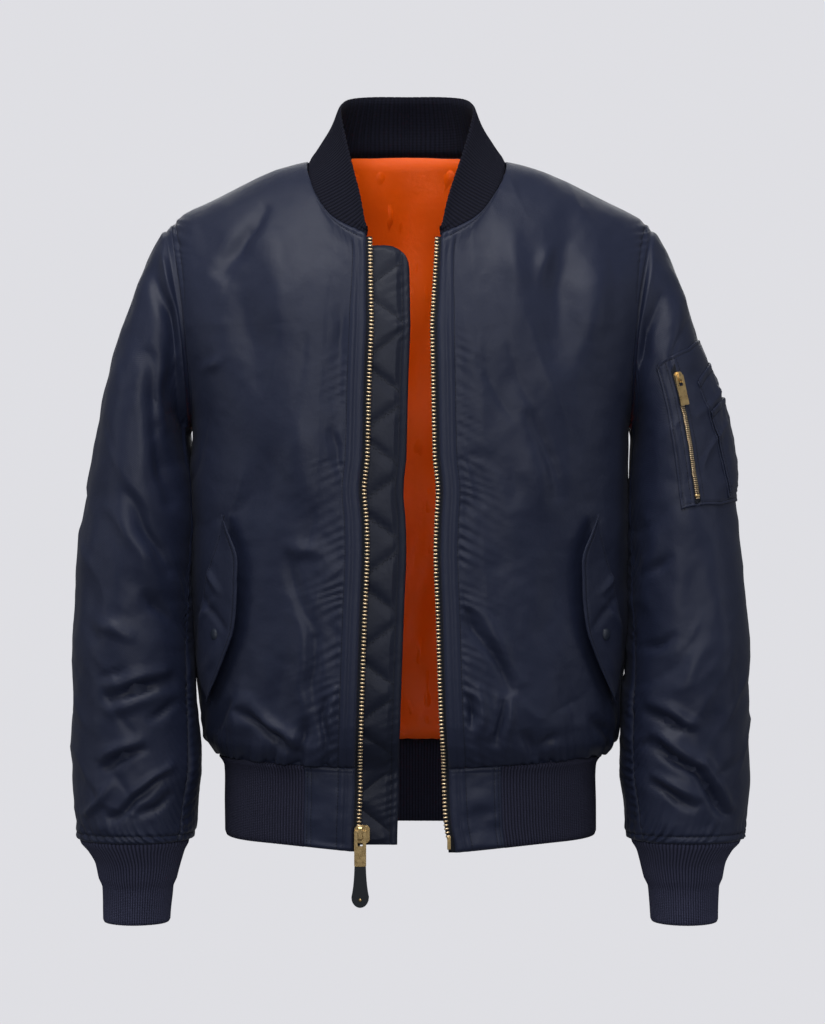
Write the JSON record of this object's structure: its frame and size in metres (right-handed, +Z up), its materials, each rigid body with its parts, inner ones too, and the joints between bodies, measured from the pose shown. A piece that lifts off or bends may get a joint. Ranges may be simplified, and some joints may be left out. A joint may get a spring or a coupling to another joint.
{
  "type": "bomber jacket",
  "caption": "Nylon bomber jacket filled out as if worn, front open, with ribbed knit collar, cuffs and waistband, zip with storm flap, slant flap pockets and a zipped sleeve pocket.",
  "frame": {"origin": "middle of the neck opening, level with the shoulder points at the neck seam", "axes": "+Z up the body, +Y towards the back, +X towards the wearer's left sleeve; the open front faces -Y"},
  "size_m": [0.6734, 0.2672, 0.836],
  "materials": {
    "shell_nylon": "satin",
    "rib_knit": "matte",
    "lining_nylon": "satin",
    "zip_tape": "matte",
    "brass": "satin",
    "grip_rubber": "matte",
    "snap_enamel": "satin"
  },
  "bodies": {
    "jacket": {"front_left": "shell_nylon", "front_right": "shell_nylon", "back": "shell_nylon", "lining_front_left": "lining_nylon", "lining_front_right": "lining_nylon", "lining_back": "lining_nylon", "sleeve_left_top": "shell_nylon", "sleeve_left_under": "shell_nylon", "sleeve_right_top": "shell_nylon", "sleeve_right_under": "shell_nylon", "cuff_left": "rib_knit", "cuff_right": "rib_knit", "collar": "rib_knit", "waistband_knit": "rib_knit", "waistband_panel_left": "shell_nylon", "waistband_panel_right": "shell_nylon", "zip_tape_left": "zip_tape", "zip_tape_right": "zip_tape", "storm_flap": "shell_nylon", "pocket_flap_left": "shell_nylon", "pocket_flap_right": "shell_nylon", "snap_left": "snap_enamel", "snap_right": "snap_enamel", "sleeve_pocket": "shell_nylon", "sleeve_zip_tape": "zip_tape", "pen_pocket_tall": "shell_nylon", "pen_pocket_short": "shell_nylon", "sleeve_slider": "brass", "front_slider": "brass", "zip_pin": "brass"},
    "front_pull": {"front_pull_plate": "brass", "front_pull_grip": "grip_rubber"},
    "sleeve_pull": {"sleeve_pull_plate": "brass"}
  },
  "joints": [
    {"name": "front_pull_swing", "type": "hinge", "parent": "jacket", "child": "front_pull", "pos_m": [-0.0482, -0.1208, -0.6592], "axis": [-1, 0, 0], "range_deg": [0, 150]},
    {"name": "sleeve_pull_swing", "type": "hinge", "parent": "jacket", "child": "sleeve_pull", "pos_m": [0.26091, -0.08536, -0.21994], "axis": [-0.9569, -0.238, -0.1662], "range_deg": [0, 140]}
  ]
}
